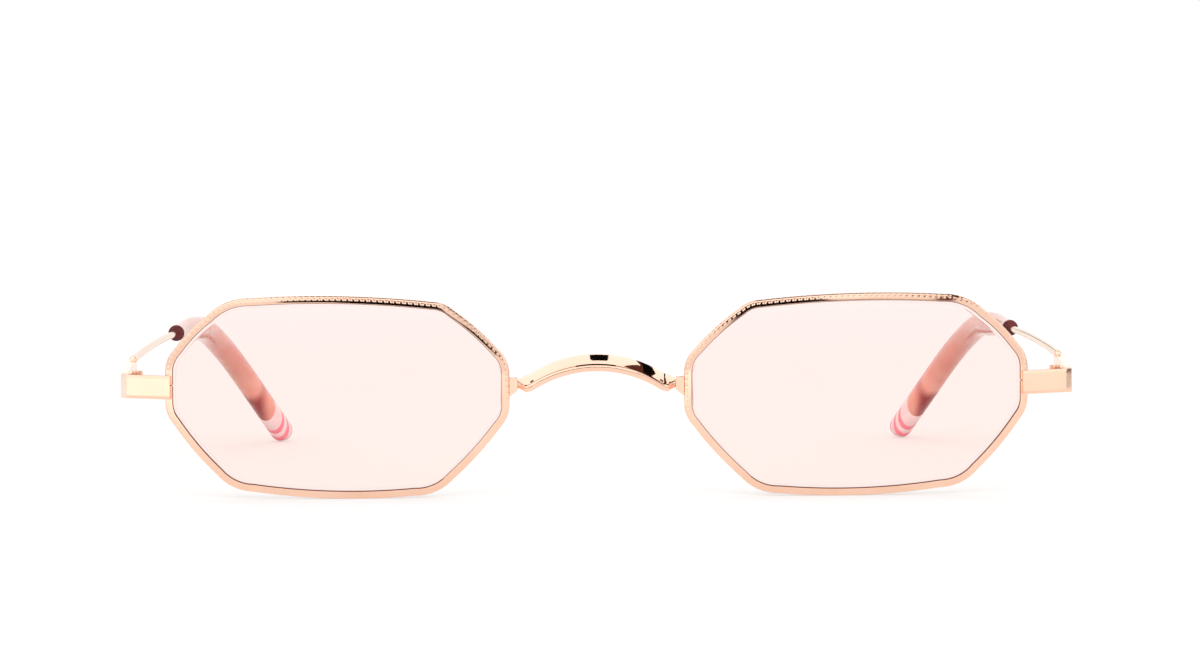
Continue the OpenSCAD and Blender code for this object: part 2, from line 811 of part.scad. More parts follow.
// Place and slope of the strip's middle line, t running from 0 at the crest to 3 at the end
function strip_at(t) =
    t <= 1 ? [arch_r * sin(arch_angle * t), bridge_z - arch_r * (1 - cos(arch_angle * t)), arch_angle * t] :
    t <= 2 ?
        let (a = arch_angle * (2 - t))
        [foot_x - foot_r * sin(a), foot_z + foot_r * (1 - cos(a)), a] :
    [lerp(foot_x, strip_end_x, t - 2), foot_z, 0];
// The strip narrows towards its end as this power of the way
TAPER_POWER = 0.7;
STRIP_EDGE_STEPS = 6;
STRIP_FACE_STEPS = 4;
// Section of the strip, w wide, with two round edges and a crowned upper face
function strip_section(w) =
    let (r = strip_t / 2, half = w / 2 - r)
    concat(
        [for (end = [0, 1], k = [0:STRIP_EDGE_STEPS])
            let (a = 90 + 180 * end + 180 * k / STRIP_EDGE_STEPS)
            [(end == 0 ? -half : half) + r * cos(a), r * sin(a)]],
        [for (k = [1:STRIP_FACE_STEPS - 1])
            let (u = 1 - 2 * k / STRIP_FACE_STEPS)
            [half * u, r + strip_crown * (1 - u * u) * w / strip_w]]
    );
function strip_ring(side, t) =
    let (
        at = strip_at(t),
        w = t <= 2 ? strip_w : lerp(strip_w, foot_w, pow(t - 2, TAPER_POWER)),
        across = [0, cos(strip_tilt), sin(strip_tilt)],
        along = [side * cos(at[2]), 0, -sin(at[2])],
        over = unit(cross(across, along) * side)
    )
    [for (p = strip_section(w)) [side * at[0], bridge_y, at[1]] + across * p[0] + over * p[1]];
ARCH_STEPS = 9;
FOOT_STEPS = 4;
END_STEPS = 4;
half_steps = concat(
    [for (k = [0:ARCH_STEPS]) k / ARCH_STEPS],
    [for (k = [1:FOOT_STEPS]) 1 + k / FOOT_STEPS],
    [for (k = [1:END_STEPS]) 2 + k / END_STEPS]
);
half_n = len(half_steps);
bridge_rings = concat(
    [for (k = [half_n - 1:-1:1]) strip_ring(-1, half_steps[k])],
    [for (k = [0:half_n - 1]) strip_ring(1, half_steps[k])]
);
bridge_front_y = min([for (ring = bridge_rings, p = ring) p[1]]);
module bridge() {
    color(METAL)
        placed()
            skin(bridge_rings);
}

// Lug: a small brazed block between the strip's foot and the rim's upright side
module bridge_lug() {
    color(METAL)
        difference() {
            translate([0, bridge_y + lug_depth / 2, 0])
                rotate([90, 0, 0])
                    linear_extrude(height = lug_depth)
                        polygon([
                            [strip_end_x, foot_z - lug_end_h / 2],
                            [nose_x + wire_face / 2, lug_z - lug_h / 2],
                            [nose_x + wire_face / 2, lug_z + lug_h / 2],
                            [strip_end_x, foot_z + lug_end_h / 2]
                        ]);
            inside_outline(4 * wire_depth);
        }
}

bridge();
on_left() bridge_lug();  // left_bridge_lug
on_right() bridge_lug();  // right_bridge_lug
on_left() rim();  // left_rim
on_right() rim();  // right_rim
on_left() lens();  // left_lens
on_right() lens();  // right_lens
on_left() end_piece();  // left_end_piece
on_right() end_piece();  // right_end_piece
on_left() upper_closing_block();  // left_upper_closing_block
on_right() upper_closing_block();  // right_upper_closing_block
on_left() lower_closing_block();  // left_lower_closing_block
on_right() lower_closing_block();  // right_lower_closing_block
on_left() closing_screw();  // left_closing_screw
on_right() closing_screw();  // right_closing_screw
on_left() front_hinge();  // left_front_hinge
on_right() front_hinge();  // right_front_hinge
on_left() temple_hinge();  // left_temple_hinge
on_right() temple_hinge();  // right_temple_hinge
on_left() hinge_screw();  // left_hinge_screw
on_right() hinge_screw();  // right_hinge_screw
on_left() temple();  // left_temple
on_right() temple();  // right_temple
on_left() temple_tip();  // left_temple_tip
on_right() temple_tip();  // right_temple_tip
on_left() tip_pink_layers();  // left_tip_pink_layers
on_right() tip_pink_layers();  // right_tip_pink_layers
on_left() tip_pale_layers();  // left_tip_pale_layers
on_right() tip_pale_layers();  // right_tip_pale_layers
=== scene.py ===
"""Octagonal rose gold sunglasses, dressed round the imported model.

The scene adds what is too fine for the solids: rims with a milled edge, a crowned bridge strip, lenses with
a narrow bevel, acetate tips whose layers lie at a slant, and a plain white studio. Shapes are drawn in mm
and become metres of the frame through MM. The studio is in metres. Left and right are the wearer's.
"""
import json
import math

import bmesh
import bpy
from mathutils import Matrix, Vector


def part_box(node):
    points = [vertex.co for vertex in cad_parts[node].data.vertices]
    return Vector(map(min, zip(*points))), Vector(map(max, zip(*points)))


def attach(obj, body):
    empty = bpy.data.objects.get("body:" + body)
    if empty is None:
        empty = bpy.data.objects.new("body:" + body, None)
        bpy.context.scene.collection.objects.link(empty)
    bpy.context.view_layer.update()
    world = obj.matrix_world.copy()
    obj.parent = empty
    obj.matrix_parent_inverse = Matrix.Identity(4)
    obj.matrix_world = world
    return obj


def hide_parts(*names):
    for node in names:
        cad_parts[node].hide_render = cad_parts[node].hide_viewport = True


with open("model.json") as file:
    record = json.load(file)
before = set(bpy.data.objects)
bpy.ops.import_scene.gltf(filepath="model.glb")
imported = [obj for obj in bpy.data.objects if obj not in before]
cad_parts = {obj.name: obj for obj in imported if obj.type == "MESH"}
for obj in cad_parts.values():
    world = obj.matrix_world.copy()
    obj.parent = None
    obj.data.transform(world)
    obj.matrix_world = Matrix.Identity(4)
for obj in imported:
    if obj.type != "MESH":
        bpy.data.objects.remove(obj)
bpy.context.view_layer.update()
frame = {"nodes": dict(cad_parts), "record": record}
nodes = frame["nodes"]
MM = 0.001
SIDES = (("left", 1), ("right", -1))


def new_object(name, data):
    obj = bpy.data.objects.new(name, data)
    bpy.context.scene.collection.objects.link(obj)
    return obj


def new_mesh(name, verts, faces, material):
    mesh = bpy.data.meshes.new(name)
    mesh.from_pydata([tuple(v) for v in verts], [], faces)
    mesh.materials.append(material)
    return mesh


# The camera, fitted to the rims and to both temple tips; angles in degrees
CAMERA_PLACE = (-0.00408, -0.63941, 0.04157)
CAMERA_LENS, SENSOR_WIDTH = 122.16, 36.0
CAMERA_YAW, CAMERA_DIP, CAMERA_ROLL = -0.46, 1.82, -0.35


def make_camera():
    data = bpy.data.cameras.new("camera")
    data.sensor_fit = "HORIZONTAL"
    data.sensor_width = SENSOR_WIDTH
    data.lens = CAMERA_LENS
    data.clip_start = 0.01
    data.clip_end = 50.0
    data.dof.use_dof = False
    camera = new_object("camera", data)
    camera.location = CAMERA_PLACE
    turn = (Matrix.Rotation(math.radians(CAMERA_YAW), 4, "Z")
            @ Matrix.Rotation(math.radians(90 - CAMERA_DIP), 4, "X"))
    roll = Matrix.Rotation(math.radians(CAMERA_ROLL), 4, "Z")
    camera.matrix_world = Matrix.Translation(camera.location) @ turn @ roll
    bpy.context.scene.camera = camera


# Helpers for shader nodes

def bare_material(name):
    mat = bpy.data.materials.new(name)
    mat.use_nodes = True
    tree = mat.node_tree
    tree.nodes.clear()
    return mat, tree, tree.nodes.new("ShaderNodeOutputMaterial")


def new_material(name, **values):
    """A material with one principled shader, and values for its sockets, with _ for each space."""
    mat, tree, out = bare_material(name)
    shader = tree.nodes.new("ShaderNodeBsdfPrincipled")
    tree.links.new(shader.outputs["BSDF"], out.inputs["Surface"])
    for socket, value in values.items():
        shader.inputs[socket.replace("_", " ")].default_value = value
    return mat, tree, shader, out


def add(tree, kind, values=None, links=None, **settings):
    """A node with its settings, the values of its sockets and what is linked into them. Sockets go by name
    or by number."""
    node = tree.nodes.new("ShaderNode" + kind)
    for key, value in settings.items():
        setattr(node, key, value)
    for socket, value in (values or {}).items():
        node.inputs[socket].default_value = value
    for socket, output in (links or {}).items():
        tree.links.new(output, node.inputs[socket])
    return node


def object_coords(tree, scale=(1, 1, 1)):
    coords = add(tree, "TexCoord")
    return add(tree, "Mapping", {"Scale": scale}, {"Vector": coords.outputs["Object"]}).outputs["Vector"]


def object_axes(tree):
    """The object's own x, y and z, as outputs by name."""
    coords = add(tree, "TexCoord")
    return add(tree, "SeparateXYZ", links={"Vector": coords.outputs["Object"]}).outputs


def noise(tree, vector, scale, detail, roughness=0.5):
    values = {"Scale": scale, "Detail": detail, "Roughness": roughness}
    return add(tree, "TexNoise", values, {"Vector": vector}).outputs["Fac"]


def ramp(tree, factor, low, low_colour, high, high_colour):
    """One colour where the factor is at low or under it, another at high or over it, and blends between."""
    node = add(tree, "ValToRGB", links={"Fac": factor})
    stops = (low, low_colour), (high, high_colour)
    for element, (position, colour) in zip(node.color_ramp.elements, stops):
        element.position = position
        element.color = (*colour, 1)
    return node.outputs["Color"]


def remap(tree, factor, low, high, start=0.0, stop=1.0, kind="LINEAR"):
    """The factor, which runs from start to stop, made to run from low to high."""
    values = {"From Min": start, "From Max": stop, "To Min": low, "To Max": high}
    return add(tree, "MapRange", values, {"Value": factor}, interpolation_type=kind).outputs["Result"]


def share(tree, factor, start, stop):
    """0 where the factor is at start, 1 at stop, and smooth between them."""
    return remap(tree, factor, 0.0, 1.0, start, stop, "SMOOTHSTEP")


def maths(tree, operation, *terms):
    """The result of one operation on outputs and plain numbers."""
    node = add(tree, "Math", operation=operation)
    for socket, term in zip(node.inputs, terms):
        if isinstance(term, float):
            socket.default_value = term
        else:
            tree.links.new(term, socket)
    return node.outputs[0]


def mix(tree, factor, first, second):
    """A blend of two colours, each an output or three numbers."""
    node = add(tree, "Mix", links={0: factor}, data_type="RGBA")
    for colour, socket in ((first, node.inputs[6]), (second, node.inputs[7])):
        if isinstance(colour, tuple):
            socket.default_value = (*colour, 1)
        else:
            tree.links.new(colour, socket)
    return node.outputs[2]


# Materials

# Scales of the noise, per metre: clouds in the plating and its fine polishing marks, clouds inside the
# clear acetate and in its gloss, and clouds in the solid layers
PLATING_CLOUDS, POLISHING_MARKS = 160, 2600
CLEAR_CLOUDS, CLEAR_GLOSS, LAYER_CLOUDS = 420, 900, 600
LENS_IOR, ACETATE_IOR = 1.5, 1.48
# The lens's coating leaves it only a faint reflection
COATING = (0.2, 0.06, 0.05, 1)
LENS_TINT_H = 28


def plated_metal(name, colour, shade, rough_low, rough_high, grain=(1, 1, 1), edge=0.0):
    """Polished rose gold plating: faint clouds in its colour, fine polishing marks in its gloss and, where
    edge gives a radius in mm, edges that the polishing wheel has rounded."""
    mat, tree, shader, _ = new_material(name, Metallic=1.0)
    clouds = noise(tree, object_coords(tree), PLATING_CLOUDS, 2)
    marks = noise(tree, object_coords(tree, grain), POLISHING_MARKS, 3, 0.6)
    relief = add(tree, "Bump", {"Strength": 0.04, "Distance": 0.01 * MM}, {"Height": marks})
    if edge:
        rounded = add(tree, "Bevel", {"Radius": edge * MM}, samples=6)
        tree.links.new(rounded.outputs["Normal"], relief.inputs["Normal"])
    tree.links.new(ramp(tree, clouds, 0.3, shade, 0.7, colour), shader.inputs["Base Color"])
    tree.links.new(remap(tree, marks, rough_low, rough_high), shader.inputs["Roughness"])
    tree.links.new(relief.outputs["Normal"], shader.inputs["Normal"])
    return mat


def tinted_lens(name, bottom, top):
    """Tinted lens with an anti-reflective coating. The tint is a little warmer towards the bottom."""
    mat, tree, shader, _ = new_material(name, Transmission_Weight=1.0, Roughness=0.0, IOR=LENS_IOR,
                                        Specular_Tint=COATING)
    height = remap(tree, object_axes(tree)["Z"], 0.0, 1.0, 0.0, LENS_TINT_H * MM)
    tree.links.new(ramp(tree, height, 0.0, bottom, 1.0, top), shader.inputs["Base Color"])
    return mat


# Where the clear acetate changes, in mm of the frame: it swells from its thin front end, clouds over
# towards the layers, and carries a painted shade over the end of its core, on the outer side only
SWELLS_Y, CLOUDS_OVER_Y, PAINTED_SHADE_Y, PAINTED_SHADE_X = (-8, 12), (46.0, 56.0), (54.5, 57.0), (55.0, 57.0)


def clear_acetate(name, colour, deep, root, end):
    """Translucent pink acetate, tumbled to a soft gloss, with faint clouds inside. root is the colour of its
    thin front end, and end is the dark colour of a painted shade over the end of its core."""
    mat, tree, shader, _ = new_material(
        name, IOR=ACETATE_IOR, Specular_IOR_Level=0.3, Subsurface_Weight=0.4,
        Subsurface_Radius=(1.0, 0.5, 0.45), Subsurface_Scale=0.5 * MM, Coat_Weight=0.1, Coat_Roughness=0.05)
    drawn_out = object_coords(tree, (1, 0.35, 1))
    clouds = ramp(tree, noise(tree, drawn_out, CLEAR_CLOUDS, 3), 0.35, deep, 0.65, colour)
    axes = object_axes(tree)

    def along(limits):
        return share(tree, axes["Y"], limits[0] * MM, limits[1] * MM)

    swelling = along(SWELLS_Y)
    clear = maths(tree, "MINIMUM", remap(tree, swelling, 0.2, 0.35),
                  remap(tree, along(CLOUDS_OVER_Y), 0.35, 0.08))
    across = maths(tree, "ABSOLUTE", axes["X"])
    # Painted shade: the colour turns dark over the end of the core, on the outer side only
    painted_shade = maths(tree, "MULTIPLY", share(tree, across, PAINTED_SHADE_X[0] * MM, PAINTED_SHADE_X[1] * MM), along(PAINTED_SHADE_Y))
    body = mix(tree, swelling, root, clouds)
    tree.links.new(clear, shader.inputs["Transmission Weight"])
    tree.links.new(mix(tree, painted_shade, body, end), shader.inputs["Base Color"])
    gloss = noise(tree, drawn_out, CLEAR_GLOSS, 2)
    tree.links.new(remap(tree, gloss, 0.04, 0.14), shader.inputs["Roughness"])
    return mat


def layer_acetate(name, colour, deep, gloss=1.0):
    """One layer of the laminated end: solid colour with a waxy depth."""
    mat, tree, shader, _ = new_material(
        name, IOR=ACETATE_IOR, Specular_IOR_Level=0.5 * gloss, Subsurface_Weight=0.3,
        Subsurface_Radius=(1.0, 0.7, 0.7), Subsurface_Scale=0.2 * MM, Coat_Weight=0.25 * gloss,
        Coat_Roughness=0.06)
    clouds = noise(tree, object_coords(tree), LAYER_CLOUDS, 3)
    tree.links.new(ramp(tree, clouds, 0.35, deep, 0.65, colour), shader.inputs["Base Color"])
    tree.links.new(remap(tree, clouds, 0.12, 0.24), shader.inputs["Roughness"])
    return mat


ROSE, ROSE_SHADE = (0.97, 0.655, 0.495), (0.94, 0.60, 0.445)
WARM, WARM_SHADE = (0.96, 0.72, 0.53), (0.93, 0.67, 0.48)
SCREW_SHADE = (0.8, 0.5, 0.33)
# Dark brown plating for the rim's inner lip: painted shade of the gap where the lens meets the rim
CREASE_PAINTED_SHADE, CREASE_PAINTED_SHADE_DEEP = (0.25, 0.06, 0.035), (0.20, 0.045, 0.025)
LENS_BOTTOM, LENS_TOP = (0.99, 0.845, 0.80), (0.99, 0.865, 0.84)
CLEAR_PINK, CLEAR_DEEP = (1.0, 0.48, 0.39), (1.0, 0.40, 0.32)
# The clear acetate's second colour here is the painted shade over the end of its core
CLEAR_ROOT, CLEAR_END_PAINTED_SHADE = (0.94, 0.56, 0.48), (0.36, 0.03, 0.03)
FRONT_END, FRONT_END_DEEP = (0.12, 0.025, 0.025), (0.07, 0.015, 0.015)
PINK, PINK_DEEP = (1.0, 0.28, 0.36), (1.0, 0.24, 0.32)
PALE, PALE_DEEP = (1.0, 0.76, 0.77), (1.0, 0.72, 0.73)

# By material slot of the record, apart from two second materials: painted shade in the crease where the lens
# meets the rim, and the dark front end of the tip
materials = {
    "frame_metal": plated_metal("rose_gold_polished", ROSE, ROSE_SHADE, 0.02, 0.07, edge=0.09),
    "rim_metal": plated_metal("rose_gold_rim", ROSE, ROSE_SHADE, 0.03, 0.09),
    "temple_metal": plated_metal("rose_gold_wire", WARM, WARM_SHADE, 0.04, 0.12, (1, 0.1, 1), edge=0.06),
    # Painted shade: dark plating along the crease where the lens meets the rim
    "rim_painted_shade": plated_metal("rose_gold_painted_crease_shade", CREASE_PAINTED_SHADE, CREASE_PAINTED_SHADE_DEEP, 0.25, 0.4),
    "screw_metal": plated_metal("rose_gold_screw", ROSE_SHADE, SCREW_SHADE, 0.08, 0.2),
    "lens": tinted_lens("lens_tint", LENS_BOTTOM, LENS_TOP),
    "tip_acetate": clear_acetate("acetate_clear_pink", CLEAR_PINK, CLEAR_DEEP, CLEAR_ROOT, CLEAR_END_PAINTED_SHADE),
    "tip_rim": layer_acetate("acetate_front_end", FRONT_END, FRONT_END_DEEP, 0.3),
    "pink_acetate": layer_acetate("acetate_pink_layer", PINK, PINK_DEEP),
    "pale_acetate": layer_acetate("acetate_pale_layer", PALE, PALE_DEEP),
}
slot_of = {s["node"]: s["material_slot"] for s in frame["record"]["subparts"]}
for name, obj in nodes.items():
    for entry in obj.material_slots:
        entry.material = materials[slot_of[name]]

# Outline of the rims. Each corner has its place and radius, and each side between two corners its bow.
RIM_GAP, RIM_W = 24.5, 48.2
NOSE_X = RIM_GAP / 2
TEMPLE_X = NOSE_X + RIM_W
CORNERS = (
    ((TEMPLE_X, 19.8), 4.6), ((TEMPLE_X - 8.4, 28.3), 8.0), ((NOSE_X + 9.1, 27.5), 4.6),
    ((NOSE_X, 19.4), 4.6), ((NOSE_X, 11.3), 4.6), ((NOSE_X + 10.1, 0.3), 7.0),
    ((TEMPLE_X - 9.1, 1.2), 7.0), ((TEMPLE_X, 12.0), 4.6),
)
SLOPE_BOW, TOP_BOW, BOTTOM_BOW = 0.25, 0.55, 0.65
BOWS = (SLOPE_BOW, TOP_BOW, SLOPE_BOW, 0.0, SLOPE_BOW, BOTTOM_BOW, SLOPE_BOW)
SPLIT_Z, SPLIT_GAP = 16.05, 0.15
BASE_CURVE_R = 260
# The wire's section, and the steps that the outline is drawn in
WIRE_FACE, WIRE_DEPTH, GROOVE_DEPTH, GROOVE_HALF = 1.1, 1.9, 0.45, 0.45
MID_DEPTH = WIRE_DEPTH / 2
CORNER_STEPS, SIDE_STEPS = 14, 24


def corner_arc(index):
    """Points of the outline round one corner."""
    place, radius = CORNERS[index]
    place = Vector(place)
    back = (Vector(CORNERS[index - 1][0]) - place).normalized()
    ahead = (Vector(CORNERS[(index + 1) % len(CORNERS)][0]) - place).normalized()
    half = back.angle(ahead) / 2
    centre = place + (back + ahead).normalized() * radius / math.sin(half)
    first = place + back * radius / math.tan(half) - centre
    start, turn = math.atan2(first.y, first.x), math.pi - 2 * half
    angles = [start + turn * k / CORNER_STEPS for k in range(CORNER_STEPS + 1)]
    return [centre + radius * Vector((math.cos(a), math.sin(a))) for a in angles]


def bowed_side(start, end, bow):
    """Points between the ends of a side that bows outwards."""
    out = Vector((end.y - start.y, start.x - end.x)).normalized()
    return [start.lerp(end, k / SIDE_STEPS) + out * bow * 4 * k * (SIDE_STEPS - k) / SIDE_STEPS ** 2
            for k in range(1, SIDE_STEPS)]


def rim_outline():
    """Points of the rim's outer outline from the split over the top and round to the split."""
    arcs = [corner_arc(i) for i in range(len(CORNERS))]
    points = [Vector((TEMPLE_X, SPLIT_Z + SPLIT_GAP / 2))] + arcs[0]
    for arc, next_arc, bow in zip(arcs, arcs[1:], BOWS):
        points += bowed_side(arc[-1], next_arc[0], bow) + next_arc
    return points + [Vector((TEMPLE_X, SPLIT_Z - SPLIT_GAP / 2))]


def resampled(points, step):
    """The line in equal steps: each place, its normal inwards and its way along; then the whole length."""
    lengths = [0.0]
    for a, b in zip(points, points[1:]):
        lengths.append(lengths[-1] + (b - a).length)
    count = round(lengths[-1] / step)
    line, j = [], 0
    for k in range(count + 1):
        s = lengths[-1] * k / count
        while j < len(points) - 2 and lengths[j + 1] < s:
            j += 1
        t = (s - lengths[j]) / (lengths[j + 1] - lengths[j])
        line.append((points[j].lerp(points[j + 1], min(max(t, 0), 1)), s))
    result = []
    for k, (place, s) in enumerate(line):
        along = (line[min(k + 1, count)][0] - line[max(k - 1, 0)][0]).normalized()
        result.append((place, Vector((-along.y, along.x)), s))
    return result, lengths[-1]


outline = rim_outline()
FLOOR_Z = min(p.y for p in outline)
RIM_MID = Vector(((NOSE_X + TEMPLE_X) / 2, (max(p.y for p in outline) + FLOOR_Z) / 2))


def sag(p):
    """How far the front lies back at a place, on the lens's base curve."""
    return BASE_CURVE_R - math.sqrt(BASE_CURVE_R ** 2 - (p - RIM_MID).length_squared)


# The drawing's zero in y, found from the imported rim's foremost point, which is near its middle
SIDE_SAG = sag(Vector((TEMPLE_X, RIM_MID.y)))
NEAR_MIDDLE = 3
FOREMOST = min(sag(Vector((RIM_MID.x, p.y))) for p in outline if abs(p.x - RIM_MID.x) < NEAR_MIDDLE)
ZERO_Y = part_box("left_rim")[0][1] / MM - (FOREMOST - SIDE_SAG)


def on_curve(side, p, y):
    """A place of the outline at depth y behind the curved front, in metres of the frame."""
    return Vector((side * p.x, ZERO_Y + y + sag(p) - SIDE_SAG, p.y - FLOOR_Z)) * MM


def in_frame(p, side=1):
    """A point of the drawing, in metres of the frame."""
    return Vector((side * p.x, ZERO_Y + p.y, p.z - FLOOR_Z)) * MM


# Helpers for meshes

def mesh_piece(name, verts, faces, body, slot, sharp):
    """A smooth piece of the object, with edges sharper than this angle, in degrees, left sharp."""
    mesh = new_mesh(name, verts, faces, materials[slot])
    bm = bmesh.new()
    bm.from_mesh(mesh)
    bmesh.ops.recalc_face_normals(bm, faces=bm.faces)
    bm.to_mesh(mesh)
    bm.free()
    mesh.polygons.foreach_set("use_smooth", [True] * len(mesh.polygons))
    mesh.set_sharp_from_angle(angle=math.radians(sharp))
    obj = new_object(name, mesh)
    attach(obj, body)
    return obj


def swept(rings, closed_ends=True):
    """Vertices and faces of a skin through rings that all have as many points."""
    n, m = len(rings), len(rings[0])
    verts = [p for ring in rings for p in ring]
    faces = [(i * m + j, i * m + (j + 1) % m, (i + 1) * m + (j + 1) % m, (i + 1) * m + j)
             for i in range(n - 1) for j in range(m)]
    if closed_ends:
        faces.append(tuple(range(m))[::-1])
        faces.append(tuple((n - 1) * m + j for j in range(m)))
    return verts, faces


# Rims with the milled edge: the pitch of the cuts, the rings in each cut and the power that shapes it, and
# the step in which the outline's length is measured
MILL_PITCH, CUT_STEPS, CUT_POWER, LINE_STEP = 0.84, 8, 0.6, 0.12
# How far the wire's front leans outwards, in degrees, at each inset from its outer flank, and how far a
# mill cut moves the point there inwards and back
FACE_TILTS = (
    (0.0, 85, 0.02, 0.0), (0.03, 62, 0.02, 0.0), (0.07, 45, 0.015, 0.005), (0.12, 32, 0.0, 0.01),
    (0.17, 24, 0.0, 0.01), (0.22, 17, 0.0, 0.005), (0.26, 10, 0.0, 0.0), (0.29, 5.0, 0.0, 0.0),
    (0.34, 4.2, 0.0, 0.0), (0.5, 3.9, 0.0, 0.03), (0.53, 3.7, 0.0, 0.0), (0.66, 3.3, 0.0, 0.0),
    (0.86, 2.8, 0.0, 0.0), (0.97, 2.2, 0.0, 0.0), (0.985, -8, 0.0, 0.0), (1.0, -18, 0.0, 0.0),
    (1.02, -30, 0.0, 0.0), (1.06, -48, 0.0, 0.0), (1.085, -65, 0.0, 0.0),
)
# The rest of the section, as inset and depth: the inner lip, then the groove for the lens and the back
LIP_SECTION = ((WIRE_FACE, 0.27), (WIRE_FACE, MID_DEPTH - GROOVE_HALF))
REAR_SECTION = (
    (WIRE_FACE - GROOVE_DEPTH, MID_DEPTH), (WIRE_FACE, MID_DEPTH + GROOVE_HALF),
    (WIRE_FACE, 1.74), (1.07, 1.84), (1.0, WIRE_DEPTH), (0.1, WIRE_DEPTH), (0.03, 1.84), (0.0, 1.74),
)
# The faces that carry the crease's painted shade are the lip and the last of the front, and more of them
# where
# the rim is low: below LOW_Z, or below LOW_SLOPE_Z within LOW_SLOPE_W of the temple's side
PAINTED_SHADE_FACES, LOW_PAINTED_SHADE_FACES = 3, 6
LOW_Z, LOW_SLOPE_Z, LOW_SLOPE_W = 2, 12, 11


def face_depths():
    """Depth of the front at each inset, added up from its tilts, 0 at the foremost point."""
    depths = [0.0]
    for (inset, tilt, _, _), (further, next_tilt, _, _) in zip(FACE_TILTS, FACE_TILTS[1:]):
        slope = math.tan(math.radians((tilt + next_tilt) / 2))
        depths.append(depths[-1] - slope * (further - inset))
    return [depth - min(depths) for depth in depths]


FACE_DEPTHS = face_depths()


def rim_section(notch):
    """Inset and depth round the wire's section; notch, 0 to 1, is how deep the milling cuts here."""
    front = [(inset + cut_in * notch, depth + cut_back * notch)
             for (inset, _, cut_in, cut_back), depth in zip(FACE_TILTS, FACE_DEPTHS)]
    return front + list(LIP_SECTION + REAR_SECTION)


def build_rim(side_name, side):
    total = resampled(outline, LINE_STEP)[1]
    pitches = round(total / MILL_PITCH)
    line, _ = resampled(outline, total / pitches / CUT_STEPS)
    rings = []
    for place, inward, s in line:
        notch = max(0.0, math.cos(2 * math.pi * (s / total * pitches))) ** CUT_POWER
        rings.append([on_curve(side, place + inward * inset, depth) for inset, depth in rim_section(notch)])
    verts, faces = swept(rings)
    rim = mesh_piece(side_name + "_rim_milled", verts, faces, "front", "rim_metal", sharp=25)
    # A second material of painted shade, for the faces along the crease where the lens meets the rim
    rim.data.materials.append(materials["rim_painted_shade"])
    last = len(FACE_TILTS) + len(LIP_SECTION) - 2
    for polygon in rim.data.polygons:
        row, column = divmod(polygon.index, len(rings[0]))
        if row >= len(line) - 1:
            continue  # the closed ends at the split
        place = line[row][0]
        low = place.y < (LOW_SLOPE_Z if place.x > TEMPLE_X - LOW_SLOPE_W else LOW_Z)
        if len(FACE_TILTS) - (LOW_PAINTED_SHADE_FACES if low else PAINTED_SHADE_FACES) <= column <= last:
            polygon.material_index = 1
    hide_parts(side_name + "_rim")


# Lenses
LENS_T, LENS_CLEAR, LENS_STEP, LENS_RINGS = 1.4, 0.01, 0.5, 14
# Inside the rim the front face drops off in a narrow bevel: inset from the lens's edge, and depth. The back
# has only a small rounding.
FRONT_BEVEL = ((0.5, 0.0), (0.4, 0.0), (0.36, 0.015), (0.04, 0.16), (0.0, 0.2))
BACK_EDGE = 0.03


def build_lens(side_name, side):
    line, _ = resampled(outline, LENS_STEP)
    edge, half = WIRE_FACE + LENS_CLEAR, GROOVE_HALF - LENS_CLEAR
    front = MID_DEPTH - LENS_T / 2
    back = front + LENS_T
    shares = [k / LENS_RINGS for k in range(1, LENS_RINGS)]

    def edge_ring(inset, depth):
        return [on_curve(side, place + inward * inset, depth) for place, inward, _ in line]

    def inner_ring(part, depth):
        return [on_curve(side, RIM_MID.lerp(place + inward * edge, part), depth) for place, inward, _ in line]

    rings = [inner_ring(k, front) for k in shares[:-1]]
    rings += [edge_ring(edge + inset, front + depth) for inset, depth in FRONT_BEVEL]
    rings += [edge_ring(edge, MID_DEPTH - half), edge_ring(edge - GROOVE_DEPTH, MID_DEPTH),
              edge_ring(edge, MID_DEPTH + half), edge_ring(edge, back - BACK_EDGE),
              edge_ring(edge + BACK_EDGE, back)]
    rings += [inner_ring(k, back) for k in reversed(shares)]
    verts, faces = swept(rings, closed_ends=False)
    for start, depth in ((0, front), (len(verts) - len(line), back)):
        verts.append(on_curve(side, RIM_MID, depth))
        faces += [(len(verts) - 1, start + j, start + (j + 1) % len(line)) for j in range(len(line))]
    lens = mesh_piece(side_name + "_lens_clear", verts, faces, "front", "lens", sharp=20)
    lens.visible_shadow = False
    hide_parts(side_name + "_lens")


for side_name, side in SIDES:
    build_rim(side_name, side)
    build_lens(side_name, side)

# Bridge: a flat strip, arched and tilted, with a crowned upper face and a foot at each end
BRIDGE_Z, STRIP_W, STRIP_T, STRIP_TILT = 18.85, 4.2, 1.1, math.radians(23)
STRIP_CROWN = 0.1
ARCH_R, ARCH_ANGLE, FOOT_R = 17, math.radians(32), 2
# The foot narrows towards the lug, most of it near its start
FOOT_W, FOOT_TAPER = 1.5, 0.7
STRIP_END_X = NOSE_X - 1.15
ARCH_STEPS, BEND_STEPS, FOOT_STEPS = 36, 12, 10
STRIP_EDGE_STEPS, STRIP_UNDER_STEPS, STRIP_FACE_STEPS = 12, 4, 10


def strip_at(t):
    """Place and slope of the strip's middle line: 0 to 1 is the arch, 2 the foot's end, 3 the lug."""
    foot_x = (ARCH_R + FOOT_R) * math.sin(ARCH_ANGLE)
    foot_z = BRIDGE_Z - (ARCH_R + FOOT_R) * (1 - math.cos(ARCH_ANGLE))
    if t <= 1:
        a = ARCH_ANGLE * t
        return ARCH_R * math.sin(a), BRIDGE_Z - ARCH_R * (1 - math.cos(a)), a
    if t <= 2:
        a = ARCH_ANGLE * (2 - t)
        return foot_x - FOOT_R * math.sin(a), foot_z + FOOT_R * (1 - math.cos(a)), a
    return foot_x + (STRIP_END_X - foot_x) * (t - 2), foot_z, 0.0


